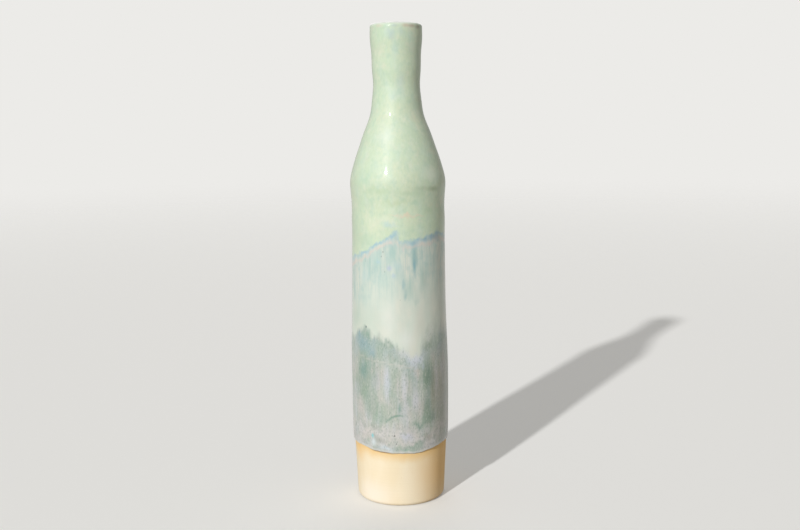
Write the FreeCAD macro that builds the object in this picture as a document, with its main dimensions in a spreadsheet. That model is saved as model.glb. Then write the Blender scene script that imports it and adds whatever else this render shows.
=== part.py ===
import FreeCAD, Part
import math
import os
import Sketcher

# A stoneware bottle vase, upright on its foot: one thrown clay wall, and the glaze coats that it was dipped in.
# Lengths are millimetres, +Z is up, and the origin is the centre of the foot.
# The clay and the dipped shape are revolved and then hollowed. The glaze is the dipped shape less the clay, so
# the coats always seat on the clay, and wavy flow lines part them where one glaze ran over the next.

Vector = FreeCAD.Vector
UP = Vector(0, 0, 1)

# Driving dimensions. Radii are on the clay. The body's stations draw in from the belly by an inset, and the neck's
# stations widen from the neck by a swell. A rise is a station's height over the one below it.
SIZES = {
    "belly_radius": 30.8,
    "neck_radius": 14.2,
    "wall": 4.2,
    "neck_wall": 3.4,
    "foot_inset": 2.6,
    "foot_edge": 2.6,
    "foot_ring": 6.0,
    "foot_bevel": 1.5,
    "recess_depth": 2.0,
    "base_thickness": 5.0,
    "inner_corner": 8.0,
    "band_inset": 1.0,
    "band_rise": 35.0,
    "belly_rise": 48.0,
    "barrel_inset": 1.2,
    "barrel_rise": 51.0,
    "waist_inset": 1.6,
    "waist_rise": 61.0,
    "shoulder_inset": 0.9,
    "shoulder_rise": 8.7,
    "brow_inset": 3.6,
    "brow_rise": 10.3,
    "slope_inset": 6.7,
    "slope_rise": 10.0,
    "nape_swell": 2.7,
    "nape_rise": 19.0,
    "neck_rise": 20.5,
    "flare_swell": 1.2,
    "flare_rise": 25.0,
    "lip_swell": 1.4,
    "lip_rise": 9.2,
    "coat": 0.6,
    "edge_bead": 0.9,
    "mouth_turn": 12.0,
    "blue_line_height": 152.0,
    "blue_line_swell": 22.0,
    "hill_line_height": 95.0,
    "hill_line_swell": 23.0,
    "overrun": 5.0,
}

# Stations of the wall from the glaze's lower edge up to the lip, and those that have the thinner neck wall.
STATIONS = ("band", "belly", "barrel", "waist", "shoulder", "brow", "slope", "nape", "neck", "flare", "lip")
NECK_STATIONS = ("nape", "neck", "flare", "lip")

# The wall line is a chain of splines, each through some of the stations, that meet where the wall stands upright.
WALL_PIECES = (
    ("band", "belly"),
    ("belly", "barrel", "waist"),
    ("waist", "shoulder"),
    ("shoulder", "brow", "slope", "nape", "neck"),
    ("neck", "flare", "lip"),
)

# Height of each flow line round the vase, as shares of its swell. The first is at +X, and they run
# anticlockwise seen from above, so the front, at -Y, is three quarters of the way along.
BLUE_LINE_SHARES = (0.89, 0.82, 0.75, 0.73, 0.66, 0.45, 0.23, 0.05, 0.02, 0.18, 0.34, 0.73, 0.95, 0.77, 0.89, 0.93)
HILL_LINE_SHARES = (0.91, 0.74, 0.52, 0.39, 0.43, 0.61, 0.74, 0.57, 0.39, 0.57, 0.83, 0.59, 0.30, 0.04, 0.78, 1.0)

# The handle at a spline's end reaches this share of the height to the next station. It stands upright, but at
# the band it carries on the foot's lean.
HANDLE_SHARE = 1 / 3
FOOT_LEAN = "(sizes.foot_inset - sizes.band_inset) / (sizes.band_rise - sizes.foot_edge)"

# How closely the volumes of wavy thin coats are known.
VOLUME_TOLERANCE_SHARE = 0.01

FOOT_RADIUS = "sizes.belly_radius - sizes.foot_inset"
FLOOR_TOP = "sizes.recess_depth + sizes.base_thickness"
FLOOR_MIDDLE = "sizes.recess_depth + sizes.base_thickness / 2"
WALL_FOOT = (f"{FOOT_RADIUS} - sizes.wall / 2", FLOOR_MIDDLE)


def add_sizes(document):
    """Put the driving dimensions in a spreadsheet, one named cell each."""
    sheet = document.addObject("Spreadsheet::Sheet", "sizes")
    for row, (name, value) in enumerate(SIZES.items(), start=1):
        sheet.set(f"A{row}", name)
        sheet.set(f"B{row}", str(value))
        sheet.setAlias(f"B{row}", name)
    document.recompute()
    return sheet


def station_height(name):
    """Expression for a station's height over the foot: every rise up to it, added up."""
    return " + ".join(f"sizes.{each}_rise" for each in STATIONS[: STATIONS.index(name) + 1])


def station_radius(name):
    """Expression for the clay's radius at a station."""
    if name in ("belly", "neck"):
        return f"sizes.{name}_radius"
    if name in NECK_STATIONS:
        return f"sizes.neck_radius + sizes.{name}_swell"
    return f"sizes.belly_radius - sizes.{name}_inset"


def station_wall(name):
    """Expression for the clay's thickness at a station."""
    return "sizes.neck_wall" if name in NECK_STATIONS else "sizes.wall"


def clay_outside(name):
    """Corner on the clay's outside at a station."""
    return (station_radius(name), station_height(name))


def clay_inside(name):
    """Corner on the clay's inside at a station."""
    return (f"{station_radius(name)} - {station_wall(name)}", station_height(name))


def wall_middle(name):
    """Corner in the middle of the clay wall at a station."""
    return (f"{station_radius(name)} - {station_wall(name)} / 2", station_height(name))


def glaze_outside(name):
    """Corner on the outer glaze at a station. At the band it is the top of the rolled edge."""
    radius, height = clay_outside(name)
    if name == "band":
        return (f"{radius} + sizes.edge_bead", f"{height} + sizes.edge_bead")
    return (f"{radius} + sizes.coat", height)


def glaze_inside(name):
    """Corner on the liner at a station."""
    radius, height = clay_inside(name)
    return (f"{radius} - sizes.coat", height)


def end_handle(side, name, neighbour):
    """Corner where the handle of a spline's end lies, on a side of the wall."""
    radius, height = side(name)
    reach = f"{HANDLE_SHARE} * ({side(neighbour)[1]} - ({height}))"
    if name == "band":
        radius = f"{radius} + {FOOT_LEAN} * {reach}"
    return (radius, f"{height} + {reach}")


class Section:
    """A closed outline, drawn anticlockwise in a sketch on a body's XZ plane, its corners bound to the sheet.

    A corner is a pair of expressions, the distance from the axis and the height over the foot.
    """

    def __init__(self, body, name, start):
        self.sketch = body.newObject("Sketcher::SketchObject", name)
        plane = [feature for feature in body.Origin.OriginFeatures if feature.Role == "XZ_Plane"][0]
        self.sketch.AttachmentSupport = [(plane, "")]
        self.sketch.MapMode = "FlatFace"
        self.start = start
        self.here = start
        self.first_vertex = None
        self.last_vertex = None

    def value(self, expression):
        """The number that an expression gives."""
        return float(self.sketch.evalExpression(expression))

    def point(self, corner):
        """The place of a corner in the sketch."""
        return Vector(self.value(corner[0]), self.value(corner[1]), 0)

    def bind_distance(self, direction, vertex, expression):
        """Hold a vertex at a distance from the origin that follows the sheet."""
        constraint = Sketcher.Constraint(direction, -1, 1, *vertex, self.value(expression))
        index = self.sketch.addConstraint(constraint)
        self.sketch.setExpression(f"Constraints[{index}]", expression)

    def bind(self, vertex, corner):
        """Hold a vertex at a corner, or on the axis where the corner's distance is zero."""
        if corner[0] == "0":
            self.sketch.addConstraint(Sketcher.Constraint("PointOnObject", *vertex, -2))
        else:
            self.bind_distance("DistanceX", vertex, corner[0])
        if corner[1] == "0":
            self.sketch.addConstraint(Sketcher.Constraint("PointOnObject", *vertex, -1))
        else:
            self.bind_distance("DistanceY", vertex, corner[1])

    def meet(self, vertex, other):
        """Make two vertices one."""
        self.sketch.addConstraint(Sketcher.Constraint("Coincident", *vertex, *other))

    def join(self, geometry, corner):
        """Tie a new edge to the one before it and hold its far end, or close the outline with it."""
        near, far = (geometry, 1), (geometry, 2)
        if self.last_vertex is None:
            self.first_vertex = near
            self.bind(near, self.start)
        else:
            self.meet(self.last_vertex, near)
        if corner == self.start:
            self.meet(far, self.first_vertex)
        else:
            self.bind(far, corner)
        self.last_vertex = far
        self.here = corner

    def line(self, *corners):
        """Draw straight edges through the corners."""
        for corner in corners:
            edge = Part.LineSegment(self.point(self.here), self.point(corner))
            self.join(self.sketch.addGeometry(edge), corner)

    def arc(self, centre, corner):
        """Draw a round edge about a centre to the corner."""
        hub = self.point(centre)
        spokes = [self.point(end) - hub for end in (self.here, corner)]
        begin, end = (math.atan2(spoke.y, spoke.x) for spoke in spokes)
        if end < begin:
            end += math.tau
        edge = Part.ArcOfCircle(Part.Circle(hub, UP, spokes[0].Length), begin, end)
        geometry = self.sketch.addGeometry(edge)
        self.join(geometry, corner)
        self.bind_distance("DistanceY", (geometry, 3), centre[1])

    def spline(self, corners, handles):
        """Draw one smooth edge through the corners, the first of them already reached, with its end handles."""
        points = [self.point(corner) for corner in corners]
        leave = self.point(handles[0]) - points[0]
        arrive = points[-1] - self.point(handles[1])
        edge = Part.BSplineCurve()
        edge.interpolate(Points=points, InitialTangent=leave.normalize(), FinalTangent=arrive.normalize())
        geometry = self.sketch.addGeometry(edge)
        self.sketch.exposeInternalGeometry(geometry)
        first_pole = geometry + 1
        first_knot = first_pole + edge.NbPoles
        self.join(geometry, corners[-1])
        for index, corner in enumerate(corners[1:-1], start=1):
            self.bind((first_knot + index, 1), corner)
        self.bind((first_pole + 1, 3), handles[0])
        self.bind((first_knot - 2, 3), handles[1])

    def wall_line(self, side):
        """Draw the wall's chain of splines on a side of the wall, from the band up to the lip."""
        for names in WALL_PIECES:
            handles = end_handle(side, names[0], names[1]), end_handle(side, names[-1], names[-2])
            self.spline([side(name) for name in names], handles)

    def turn(self, body, kind):
        """Turn the closed outline about the upright axis: a Revolution adds it to the body, a Groove cuts it."""
        turned = body.newObject(f"PartDesign::{kind}", f"{body.Label}_{kind}")
        turned.Profile = self.sketch
        turned.ReferenceAxis = (self.sketch, ["V_Axis"])
        turned.Angle = math.degrees(math.tau)


def add_body(document, label):
    """Start a body of its own for one revolved solid."""
    body = document.addObject("PartDesign::Body", label)
    body.Label = label
    return body


def hollow(body, side, cover="0"):
    """Cut the hollow inside a side of the wall: a floor, a round corner and the wall up to the lip."""
    floor = f"{FLOOR_TOP} + {cover}"
    corner_height = f"{FLOOR_TOP} + sizes.inner_corner"
    corner_centre = (f"{FOOT_RADIUS} - sizes.wall - sizes.inner_corner", corner_height)
    section = Section(body, f"{body.Label}_hollow", ("0", floor))
    section.line((corner_centre[0], floor))
    section.arc(corner_centre, (f"{FOOT_RADIUS} - sizes.wall - {cover}", corner_height))
    section.line(side("band"))
    section.wall_line(side)
    section.line(("0", side("lip")[1]), section.start)
    section.turn(body, "Groove")


def add_clay_body(document):
    """The thrown wall: trimmed foot ring, bare band, barrel, shoulder, neck, round lip and hollow inside."""
    body = add_body(document, "clay_body")
    edge_start = f"{FOOT_RADIUS} - sizes.foot_edge"
    ring_inside = f"{edge_start} - sizes.foot_ring"
    bevel_top = (f"{ring_inside} - sizes.foot_bevel", "sizes.recess_depth")
    section = Section(body, "clay_outline", ("0", "sizes.recess_depth"))
    section.line(bevel_top, (ring_inside, "0"), (edge_start, "0"))
    section.arc((edge_start, "sizes.foot_edge"), (FOOT_RADIUS, "sizes.foot_edge"))
    section.line(clay_outside("band"))
    section.wall_line(clay_outside)
    section.arc(wall_middle("lip"), clay_inside("lip"))
    section.line(("0", clay_inside("lip")[1]), section.start)
    section.turn(body, "Revolution")
    hollow(body, clay_inside)
    return body


def add_dipped_form(document):
    """The clay with its glaze on, from the glaze's rolled lower edge over the lip and down the inside."""
    body = add_body(document, "dipped_form")
    edge_top = glaze_outside("band")
    section = Section(body, "dipped_outline", ("0", FLOOR_MIDDLE))
    section.line(WALL_FOOT, wall_middle("band"), clay_outside("band"))
    section.arc((clay_outside("band")[0], edge_top[1]), edge_top)
    section.wall_line(glaze_outside)
    section.arc(wall_middle("lip"), glaze_inside("lip"))
    section.line(("0", glaze_inside("lip")[1]), section.start)
    section.turn(body, "Revolution")
    hollow(body, glaze_inside, cover="sizes.coat")
    return body


def add_inner_side(document):
    """Everything inside the middle of the clay wall, up to where the lip's glaze meets the liner."""
    body = add_body(document, "inner_side")
    turn_height = f"{station_height('lip')} - sizes.mouth_turn"
    stations = [wall_middle(name) for name in STATIONS if name not in ("flare", "lip")]
    section = Section(body, "inner_side_section", ("0", FLOOR_MIDDLE))
    section.line(WALL_FOOT, *stations, (wall_middle("lip")[0], turn_height), ("0", turn_height), section.start)
    section.turn(body, "Revolution")
    return body


def add_flow_curve(document, sheet, label, line, shares, radius):
    """A closed curve round the axis, whose height swells by its shares above the flow line's lowest point."""
    lowest = getattr(sheet, f"{line}_height")
    swell = getattr(sheet, f"{line}_swell")
    points = []
    for index, share in enumerate(shares):
        turn = math.tau * index / len(shares)
        points.append(Vector(radius * math.cos(turn), radius * math.sin(turn), lowest + swell * share))
    curve = Part.BSplineCurve()
    curve.interpolate(Points=points, PeriodicFlag=True)
    feature = document.addObject("Part::Feature", label)
    feature.Shape = curve.toShape()
    return feature


def add_upper_side(document, sheet, line, shares):
    """Everything above a flow line: a wavy ring, level from its inner to its outer curve, drawn up over the lip."""
    bore = sheet.neck_radius - sheet.neck_wall - sheet.coat
    reach = sheet.belly_radius + sheet.edge_bead + sheet.overrun
    ring = document.addObject("Part::RuledSurface", f"{line}_ring")
    ring.Curve1 = (add_flow_curve(document, sheet, f"{line}_inner", line, shares, bore / 2), ["Edge1"])
    ring.Curve2 = (add_flow_curve(document, sheet, f"{line}_outer", line, shares, reach), ["Edge1"])
    side = document.addObject("Part::Extrusion", f"{line}_upper_side")
    side.Base = ring
    side.DirMode = "Custom"
    side.Dir = UP
    side.setExpression("LengthFwd", station_height("lip"))
    side.Solid = True
    return side


def add_boolean(document, kind, label, base, tool):
    """What a cut or a common of two shapes leaves."""
    feature = document.addObject(f"Part::{kind}", label)
    feature.Label = label
    feature.Base = base
    feature.Tool = tool
    return feature


def add_glazes(document, sheet, clay):
    """The glaze coats: the liner inside, and three coats outside that part at the wavy flow lines."""
    glaze = add_boolean(document, "Cut", "glaze", add_dipped_form(document), clay)
    inner_side = add_inner_side(document)
    above_blue = add_upper_side(document, sheet, "blue_line", BLUE_LINE_SHARES)
    above_hill = add_upper_side(document, sheet, "hill_line", HILL_LINE_SHARES)
    outer = add_boolean(document, "Cut", "outer_glaze", glaze, inner_side)
    lower = add_boolean(document, "Cut", "lower_glazes", outer, above_blue)
    return glaze, [
        add_boolean(document, "Common", "liner_glaze", glaze, inner_side),
        add_boolean(document, "Common", "celadon_glaze", outer, above_blue),
        add_boolean(document, "Common", "pale_glaze", lower, above_hill),
        add_boolean(document, "Cut", "grey_glaze", lower, above_hill),
    ]


def check(document, parts, glaze, coats):
    """Stop if a feature failed, a sub-part isn't one sound solid, or the coats don't add up to the glaze."""
    for feature in document.Objects:
        faults = {"Invalid", "Error"}.intersection(feature.State)
        if faults:
            raise RuntimeError(f"{feature.Label} failed: {', '.join(faults)}")
    for part in parts:
        if part.Shape.isNull() or not part.Shape.isValid() or len(part.Shape.Solids) != 1:
            raise RuntimeError(f"{part.Label} isn't one sound solid")
    share = sum(coat.Shape.Volume for coat in coats) / glaze.Shape.Volume
    print(f"the coats hold {share:.4f} of the glaze")
    if not math.isclose(share, 1, rel_tol=VOLUME_TOLERANCE_SHARE):
        raise RuntimeError("the coats don't add up to the glaze")


def main():
    """Build the vase, check it and write one file for each sub-part."""
    document = FreeCAD.newDocument("bottle_vase")
    sheet = add_sizes(document)
    clay = add_clay_body(document)
    glaze, coats = add_glazes(document, sheet, clay)
    document.recompute()
    parts = [clay, *coats]
    check(document, parts, glaze, coats)
    os.makedirs("parts", exist_ok=True)
    for part in parts:
        part.Shape.exportStep(f"parts/{part.Label}.step")
        box = part.Shape.BoundBox
        print(f"{part.Label}: {part.Shape.Volume:.0f} mm3, z {box.ZMin:.2f} to {box.ZMax:.2f}")


main()
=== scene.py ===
"""A stoneware bottle vase: the thrown clay and its running glazes, in a plain pale studio.

Lengths are metres, +Z is up and the front faces -Y. The foot stands on z = 0.
"""

import itertools
import logging
import math
import random
from abc import ABC, abstractmethod
from collections.abc import Callable, Iterable, Sequence
from dataclasses import dataclass, field
from enum import Enum
from functools import cached_property

import bpy
import numpy as np
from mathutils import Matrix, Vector


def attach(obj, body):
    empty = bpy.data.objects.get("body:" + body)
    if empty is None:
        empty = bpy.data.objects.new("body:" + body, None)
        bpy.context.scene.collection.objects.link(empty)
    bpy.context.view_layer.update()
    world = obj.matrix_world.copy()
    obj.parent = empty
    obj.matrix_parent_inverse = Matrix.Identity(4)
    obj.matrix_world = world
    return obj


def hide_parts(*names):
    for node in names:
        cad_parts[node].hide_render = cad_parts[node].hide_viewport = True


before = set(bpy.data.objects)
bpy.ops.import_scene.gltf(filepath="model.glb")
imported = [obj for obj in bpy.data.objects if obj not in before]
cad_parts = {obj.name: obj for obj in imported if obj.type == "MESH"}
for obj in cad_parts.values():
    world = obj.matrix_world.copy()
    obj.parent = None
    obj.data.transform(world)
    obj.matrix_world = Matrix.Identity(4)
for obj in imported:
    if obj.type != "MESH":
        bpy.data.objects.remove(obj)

MM = 0.001
COLUMNS = 192
WELD = 0.005 * MM
SMOOTH_ANGLE = math.radians(40)
LOG = logging.getLogger("bottle_vase")

Point = tuple[float, float]
Colour = tuple[float, float, float, float]
Wire = bpy.types.NodeSocket
Wires = dict[str, bpy.types.NodeSocket]


def paint(red: int, green: int, blue: int) -> Colour:
    """Turn a colour as the eye sees it into the shader's own scale.

    Args:
        red: Share of red, from 0 to 255.
        green: Share of green, from 0 to 255.
        blue: Share of blue, from 0 to 255.

    Returns:
        The linear colour with full alpha.
    """
    shares = [channel / 255 for channel in (red, green, blue)]
    linear = [share / 12.92 if share <= 0.04045 else ((share + 0.055) / 1.055) ** 2.4 for share in shares]
    return (*linear, 1.0)


def ease(value: np.ndarray | float, start: float, end: float) -> np.ndarray | float:
    """Rise smoothly from 0 at start to 1 at end.

    Args:
        value: One number or an array of them.
        start: Where the rise begins.
        end: Where it is complete, above or below start.

    Returns:
        The eased share, of the same form as value.
    """
    share = np.clip((value - start) / (end - start), 0, 1)
    return share * share * (3 - 2 * share)


@dataclass(frozen=True)
class Station:
    """A height on the thrown wall and the clay's radius there."""

    height: float
    radius: float
    upright: bool = False


@dataclass(frozen=True)
class Wall:
    """The thrown wall's line, from the glaze's lower edge to the lip, smooth through its stations."""

    stations: tuple[Station, ...] = (
        Station(35.0 * MM, 29.8 * MM),
        Station(83.0 * MM, 30.8 * MM, upright=True),
        Station(134.0 * MM, 29.6 * MM),
        Station(195.0 * MM, 29.2 * MM, upright=True),
        Station(203.7 * MM, 29.9 * MM, upright=True),
        Station(214.0 * MM, 27.2 * MM),
        Station(224.0 * MM, 24.1 * MM),
        Station(243.0 * MM, 16.9 * MM),
        Station(263.5 * MM, 14.2 * MM, upright=True),
        Station(288.5 * MM, 15.4 * MM),
        Station(297.7 * MM, 15.6 * MM, upright=True),
    )
    foot_radius: float = 28.2 * MM
    foot_edge: float = 2.6 * MM
    foot_ring: float = 6.0 * MM
    foot_bevel: float = 1.5 * MM
    recess_depth: float = 2.0 * MM
    base_thickness: float = 5.0 * MM
    inner_corner: float = 8.0 * MM
    wall: float = 4.2 * MM
    neck_wall: float = 3.4 * MM
    wall_narrows: Point = (224.0 * MM, 243.0 * MM)
    coat: float = 0.6 * MM
    edge_bead: float = 0.9 * MM
    mouth_turn: float = 12.0 * MM
    easing: float = 2.5 * MM
    ring_depth: float = 0.16 * MM
    ring_spacing: float = 18.9 * MM
    ring_crest: float = 216.0 * MM
    barrel_rings: float = 0.15
    rings_grow: Point = (150.0 * MM, 200.0 * MM)

    @property
    def band(self) -> Station:
        """The station where the glaze begins over the bare clay."""
        return self.stations[0]

    @property
    def lip(self) -> Station:
        """The station under the round lip."""
        return self.stations[-1]

    @property
    def lean(self) -> float:
        """How much the foot widens with height."""
        return (self.band.radius - self.foot_radius) / (self.band.height - self.foot_edge)

    @cached_property
    def slopes(self) -> np.ndarray:
        """Slope of the wall's line at each station: none at upright ones, a smooth spline's at the others.

        Returns:
            The slopes, radius over height.
        """
        heights = [station.height for station in self.stations]
        radii = [station.radius for station in self.stations]
        count = len(self.stations)
        rows, right = np.eye(count), np.zeros(count)
        right[0] = self.lean
        for index in range(1, count - 1):
            if self.stations[index].upright:
                continue
            before = heights[index] - heights[index - 1]
            after = heights[index + 1] - heights[index]
            rows[index, index - 1 : index + 2] = after, 2 * (before + after), before
            climb = after * (radii[index] - radii[index - 1]) / before
            climb += before * (radii[index + 1] - radii[index]) / after
            right[index] = 3 * climb
        return np.linalg.solve(rows, right)

    def outside(self, height: np.ndarray | float) -> np.ndarray | float:
        """Radius of the clay's outside at a height, with its turns eased as a hand leaves them.

        Args:
            height: One height over the foot, or an array of them.

        Returns:
            The radius, of the same form as height.
        """
        around = self.drawn(height - self.easing) + self.drawn(height + self.easing)
        return self.drawn(height) / 2 + around / 4 + self.rings(height)

    def rings(self, height: np.ndarray | float) -> np.ndarray | float:
        """Read how far the throwing rings stand out, faint on the barrel and stronger above.

        Args:
            height: One height over the foot, or an array of them.

        Returns:
            The distance, of the same form as height.
        """
        turns = (height - self.ring_crest) / self.ring_spacing
        share = self.barrel_rings + (1 - self.barrel_rings) * ease(height, *self.rings_grow)
        return self.ring_depth * share * np.cos(math.tau * turns)

    def drawn(self, height: np.ndarray | float) -> np.ndarray | float:
        """Read the smooth line through the stations, and on down the leaning foot.

        Args:
            height: One height over the foot, or an array of them.

        Returns:
            The radius, of the same form as height.
        """
        heights = np.array([station.height for station in self.stations])
        radii = np.array([station.radius for station in self.stations])
        high = np.clip(np.searchsorted(heights, height), 1, len(heights) - 1)
        low = high - 1
        span = heights[high] - heights[low]
        share = np.clip((height - heights[low]) / span, 0, 1)
        square, cube = share**2, share**3
        wall = (2 * cube - 3 * square + 1) * radii[low] + (3 * square - 2 * cube) * radii[high]
        wall += (cube - 2 * square + share) * span * self.slopes[low]
        wall += (cube - square) * span * self.slopes[high]
        return wall - self.lean * np.maximum(self.band.height - height, 0)

    def inside(self, height: np.ndarray | float) -> np.ndarray | float:
        """Radius of the clay's inside at a height."""
        share = ease(height, *self.wall_narrows)
        return self.outside(height) - self.wall + share * (self.wall - self.neck_wall)

    def glazed(self, height: np.ndarray | float) -> np.ndarray | float:
        """Radius of the outer glaze at a height, a little thicker near its lower edge.

        Args:
            height: One height over the foot, or an array of them.

        Returns:
            The radius, of the same form as height.
        """
        low = self.band.height + self.edge_bead
        thickening = (self.edge_bead - self.coat) * (1 - ease(height, low, self.stations[1].height))
        return self.outside(height) + self.coat + thickening


@dataclass(frozen=True)
class FlowLine:
    """A line round the vase where a glaze stopped running.

    Its knots are pairs of an angle from the front, in degrees and growing to the right, and a height in
    millimetres. The line is smoothed over the given angle, and then wanders a little, as a melt does.
    """

    name: str
    base: float
    knots: tuple[Point, ...]
    wander: float
    smoothing: float = 1.6
    ripples: tuple[Point, ...] = ((13, 0.5), (29, 0.3), (53, 0.2))

    def heights(self, angles: np.ndarray) -> np.ndarray:
        """Height of the line at each angle from the front.

        Args:
            angles: Angles in degrees.

        Returns:
            Heights in metres.
        """
        steps = 1440
        samples = np.arange(steps) * 360 / steps
        knots = sorted((angle % 360, height) for angle, height in self.knots)
        line = np.interp(samples, [knot[0] for knot in knots], [knot[1] for knot in knots], period=360)
        away = np.minimum(samples, 360 - samples)
        weight = np.exp(-0.5 * (away / self.smoothing) ** 2)
        smooth = np.real(np.fft.ifft(np.fft.fft(line) * np.fft.fft(weight / weight.sum())))
        for count, share in self.ripples:
            smooth = smooth + self.wander * share * (1 + np.sin(np.radians(count * samples) + count))
        return np.interp(np.asarray(angles) % 360, samples, smooth, period=360) * MM


BLUE_LINE = FlowLine(
    "blue",
    152.0 * MM,
    (
        (-90, 153.5), (-67.5, 158.0), (-53, 160.0), (-43, 162.6), (-37, 164.4), (-32.6, 165.8),
        (-24.5, 168.6), (-12, 172.0), (-3, 173.2), (0.5, 171.0), (4, 168.4), (12, 168.6), (19.6, 169.7),
        (32.7, 170.4), (48.7, 172.0), (67.5, 172.2), (80, 169.5), (92, 171.8), (104, 166.5), (113, 163.0),
        (126, 166.0), (142, 170.4), (152, 168.0), (163, 162.5), (178, 163.5), (-168, 159.0), (-154, 161.5),
        (-142, 156.0), (-128, 157.5), (-115, 153.5), (-102, 155.0),
    ),
    wander=0.35,
)
HILL_LINE = FlowLine(
    "hill",
    95.0 * MM,
    (
        (-90, 104), (-67.5, 107.5), (-54, 112), (-43, 115.5), (-35, 111.0), (-26, 110.0), (-17, 108.8),
        (-13, 106.5), (-8.7, 108.2), (-3, 103.0), (3, 100.5), (10, 98.0), (19, 95.5), (24, 99.0),
        (28.5, 106.0), (33, 110.5), (38, 112.5), (45, 113.0), (54, 112.0), (64, 113.5), (76, 109.5),
        (86, 114.5), (98, 110), (110, 113), (120, 105.5), (131, 107.5), (142, 100), (156, 104), (168, 99.5),
        (180, 103), (-166, 109), (-154, 105.5), (-140, 112), (-126, 107), (-114, 110.5), (-100, 103.5),
    ),
    wander=0.8,
)
GLAZE_EDGE = FlowLine(
    "edge",
    35.0 * MM,
    (
        (-90, 37.6), (-59, 37.4), (-45, 37.2), (-37, 36.4), (-26, 35.8), (-8, 35.4), (13, 35.0), (22, 35.0),
        (35, 35.8), (49, 37.0), (69, 37.6), (90, 37.0), (118, 36.0), (145, 36.8), (170, 35.8), (-160, 36.4),
        (-135, 35.6), (-112, 36.8),
    ),
    wander=0.22,
    smoothing=3.0,
)
FLOW_LINES = (BLUE_LINE, HILL_LINE, GLAZE_EDGE)


def work_on(piece: bpy.types.Object) -> None:
    """Make one piece the only one that is selected, and the active one.

    Args:
        piece: The piece.
    """
    bpy.ops.object.select_all(action="DESELECT")
    piece.select_set(True)
    bpy.context.view_layer.objects.active = piece


def bake_modifier(piece: bpy.types.Object, kind: str, **settings: object) -> None:
    """Give a piece a modifier and apply it.

    Args:
        piece: The piece to change.
        kind: The modifier's type.
        settings: The modifier's own settings.
    """
    work_on(piece)
    modifier = piece.modifiers.new(kind.title(), kind)
    for name, value in settings.items():
        setattr(modifier, name, value)
    bpy.ops.object.modifier_apply(modifier=modifier.name)


def heights_between(low: float, high: float, step: float) -> list[float]:
    """Even heights from low to high, both included, about a step apart."""
    return list(np.linspace(low, high, max(2, round(abs(high - low) / step) + 1)))


def arc_points(centre: Point, radius: float, start: float, end: float, count: int) -> list[Point]:
    """Points of an arc in the half profile.

    Args:
        centre: Its centre, as a radius and a height.
        radius: Its own radius.
        start: Angle of the first point in degrees, from straight outwards.
        end: Angle of the last point.
        count: How many points, both ends included.

    Returns:
        The points, in order.
    """
    angles = np.radians(np.linspace(start, end, count))
    return [(centre[0] + radius * math.cos(a), centre[1] + radius * math.sin(a)) for a in angles]


def turn(name: str, profile: Sequence[Point], closed: bool) -> bpy.types.Object:
    """Draw a half profile and spin it about the vase's axis, as on the wheel.

    Args:
        name: Name of the new piece.
        profile: Points as radius and height, in order.
        closed: Whether the profile comes back to its first point. Otherwise both ends lie on the axis.

    Returns:
        The piece, closed and facing outwards.
    """
    bpy.ops.object.select_all(action="DESELECT")
    bpy.ops.mesh.primitive_plane_add(size=MM)
    piece = bpy.context.object
    piece.name = piece.data.name = name
    bpy.ops.object.mode_set(mode="EDIT")
    bpy.ops.mesh.merge(type="CENTER")
    here = (0.0, 0.0)
    for index, there in enumerate([*profile, profile[0]] if closed else profile):
        move = {"value": (there[0] - here[0], 0, there[1] - here[1])}
        if index == 0:
            bpy.ops.transform.translate(**move)
        else:
            bpy.ops.mesh.extrude_region_move(TRANSFORM_OT_translate=move)
        here = there
    bpy.ops.mesh.select_all(action="SELECT")
    bpy.ops.mesh.spin(steps=COLUMNS, angle=math.tau, center=(0, 0, 0), axis=(0, 0, 1))
    bpy.ops.mesh.select_all(action="SELECT")
    bpy.ops.mesh.remove_doubles(threshold=WELD)
    bpy.ops.mesh.normals_make_consistent(inside=False)
    bpy.ops.object.mode_set(mode="OBJECT")
    bpy.ops.object.shade_smooth_by_angle(angle=SMOOTH_ANGLE)
    return piece


def places_of(piece: bpy.types.Object) -> tuple[np.ndarray, np.ndarray]:
    """Read where a piece's points are.

    Args:
        piece: The piece.

    Returns:
        Their places, and their angles from the front in degrees.
    """
    places = np.empty(3 * len(piece.data.vertices))
    piece.data.vertices.foreach_get("co", places)
    places = places.reshape(-1, 3)
    return places, np.degrees(np.arctan2(places[:, 0], -places[:, 1]))


def let_run(piece: bpy.types.Object, runs: dict[FlowLine, Point]) -> None:
    """Pull a coat's level edges to their flow lines, and let the rows near them follow.

    Args:
        piece: The coat, turned with its edges level at the lines' bases.
        runs: For each line, the height where the rows stay put and the height of its level edge.
    """
    places, angles = places_of(piece)
    rise = sum((line.heights(angles) - line.base) * ease(places[:, 2], *run) for line, run in runs.items())
    most = float(rise.max())
    group = piece.vertex_groups.new(name="rise")
    for index, weight in enumerate((rise / most).tolist()):
        group.add([index], weight, "REPLACE")
    bake_modifier(piece, "DISPLACE", direction="Z", strength=most, mid_level=0, vertex_group="rise")


def mark_flow_lines(piece: bpy.types.Object) -> None:
    """Write how far every point lies above each flow line, for the finishes to follow.

    Args:
        piece: The piece to mark.
    """
    places, angles = places_of(piece)
    for line in FLOW_LINES:
        layer = piece.data.attributes.new(f"above_{line.name}", "FLOAT", "POINT")
        layer.data.foreach_set("value", (places[:, 2] - line.heights(angles)).astype(np.float32))


@dataclass(frozen=True)
class Dent:
    """A shallow dent in the wall: its angle from the front, height, depth and reach."""

    angle: float
    height: float
    depth: float
    reach: float

    def press(self, place: Vector) -> float:
        """Work out how deep it presses a place.

        Args:
            place: The place.

        Returns:
            The depth.
        """
        turned = math.radians(self.angle)
        radius = math.hypot(place.x, place.y)
        away = place - Vector((radius * math.sin(turned), -radius * math.cos(turned), self.height))
        return self.depth * math.exp(-((away.length / self.reach) ** 2))


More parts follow.
